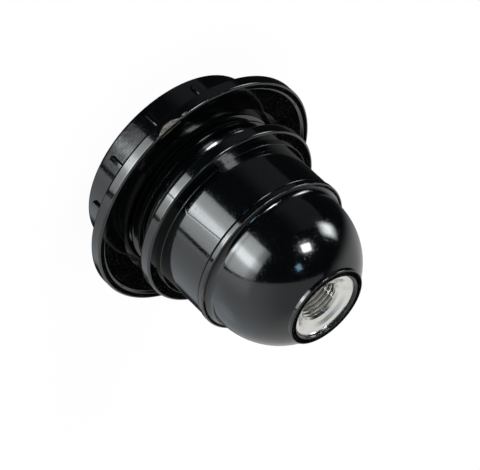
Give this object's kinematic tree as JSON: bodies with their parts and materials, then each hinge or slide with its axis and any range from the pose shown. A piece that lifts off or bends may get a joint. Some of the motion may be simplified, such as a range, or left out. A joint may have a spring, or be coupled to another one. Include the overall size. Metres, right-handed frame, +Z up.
{
  "type": "lamp holder",
  "caption": "Pendant lamp holder with a domed cap, a threaded skirt with a collar, and a screwed shade ring; the lamp screws into its open end.",
  "frame": {"origin": "on the holder's axis, in the plane of the open mouth that it stands on", "axes": "+Z up along the axis, from the mouth to the cable entry; +X from the live to the neutral terminal"},
  "size_m": [0.0582, 0.0582, 0.0531],
  "materials": {
    "black_resin": "glossy, faintly uneven",
    "nickel": "satin nickel plate",
    "steel": "zinc plated, satin",
    "porcelain": "glazed",
    "sleeve_brass": "pressed sheet, bright",
    "contact_brass": "satin"
  },
  "bodies": {
    "cap": {"dome_cap": "black_resin", "entry_bushing": "nickel"},
    "lock_screw": {"lock_screw": "steel"},
    "base": {"contact_base": "porcelain", "threaded_sleeve": "sleeve_brass", "neutral_rivet": "contact_brass", "sleeve_rivet_1": "contact_brass", "sleeve_rivet_2": "contact_brass", "centre_rivet": "contact_brass", "live_terminal": "contact_brass", "neutral_terminal": "contact_brass"},
    "tongue": {"centre_contact": "contact_brass"},
    "live_clamp": {"live_clamp": "steel", "live_lock_washer": "steel"},
    "live_screw": {"live_screw": "steel"},
    "neutral_clamp": {"neutral_clamp": "steel", "neutral_lock_washer": "steel"},
    "neutral_screw": {"neutral_screw": "steel"},
    "skirt": {"skirt": "black_resin"},
    "ring": {"shade_ring": "black_resin"}
  },
  "joints": [
    {"name": "lock_screw_travel", "type": "slide", "parent": "cap", "child": "lock_screw", "axis": [0, -1, 0], "range_m": [-0.0008, 0.0006]},
    {"name": "base_drop", "type": "slide", "parent": "cap", "child": "base", "axis": [0, 0, -1], "range_m": [0, 0.0063]},
    {"name": "skirt_turn", "type": "hinge", "parent": "base", "child": "skirt", "pos_m": [0, 0, 0.03], "axis": [0, 0, -1], "range_deg": [0, 900]},
    {"name": "ring_travel", "type": "slide", "parent": "skirt", "child": "ring", "axis": [0, 0, 1], "range_m": [-0.012, 0.0062]},
    {"name": "contact_press", "type": "hinge", "parent": "base", "child": "tongue", "pos_m": [-0.0048, 0, 0.02437], "axis": [0, -1, 0], "range_deg": [0, 6.5], "stiffness_Nm_per_rad": 0.2},
    {"name": "live_clamp_lift", "type": "slide", "parent": "base", "child": "live_clamp", "axis": [0, 0, 1], "range_m": [0, 0.0015]},
    {"name": "live_screw_turn", "type": "hinge", "parent": "live_clamp", "child": "live_screw", "pos_m": [-0.0094, 0, 0.036], "axis": [0, 0, 1], "range_deg": [0, 1080]},
    {"name": "neutral_clamp_lift", "type": "slide", "parent": "base", "child": "neutral_clamp", "axis": [0, 0, 1], "range_m": [0, 0.0015]},
    {"name": "neutral_screw_turn", "type": "hinge", "parent": "neutral_clamp", "child": "neutral_screw", "pos_m": [0.0059, 0, 0.036], "axis": [0, 0, 1], "range_deg": [0, 1080]}
  ],
  "couplings": [
    {"joint": "base_drop", "follows": "skirt_turn", "m_per_rad": 0.00039789},
    {"joint": "live_screw_turn", "follows": "live_clamp_lift", "rad_per_m": 12566},
    {"joint": "neutral_screw_turn", "follows": "neutral_clamp_lift", "rad_per_m": 12566}
  ]
}
